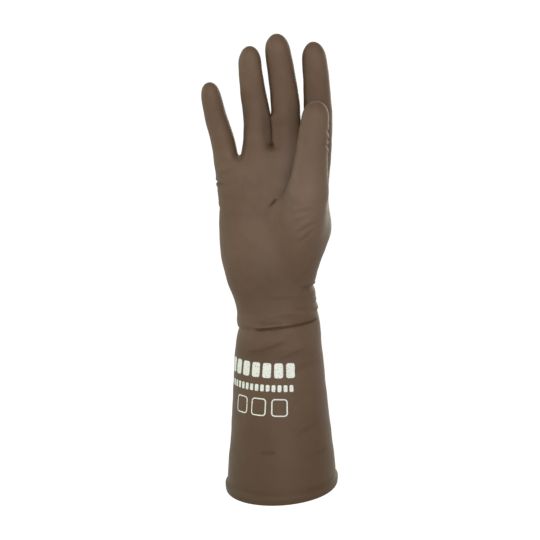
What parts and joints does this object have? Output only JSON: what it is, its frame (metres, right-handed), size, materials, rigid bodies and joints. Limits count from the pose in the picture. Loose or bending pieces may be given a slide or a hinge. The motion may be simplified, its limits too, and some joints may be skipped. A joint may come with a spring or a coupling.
{
  "type": "latex gauntlet glove",
  "caption": "Long-cuffed dipped latex work glove for the right hand, in the form it has when worn, open at the forearm, with a rolled rim.",
  "frame": {"origin": "centre of the cuff's open mouth, where the forearm goes in", "axes": "+Z along the arm towards the fingertips, -Y out of the palm, +X towards the thumb"},
  "size_m": [0.0931, 0.09, 0.3165],
  "materials": {
    "latex": "satin dipped natural latex, brown"
  },
  "bodies": {
    "root": {"glove": "latex"}
  },
  "joints": []
}
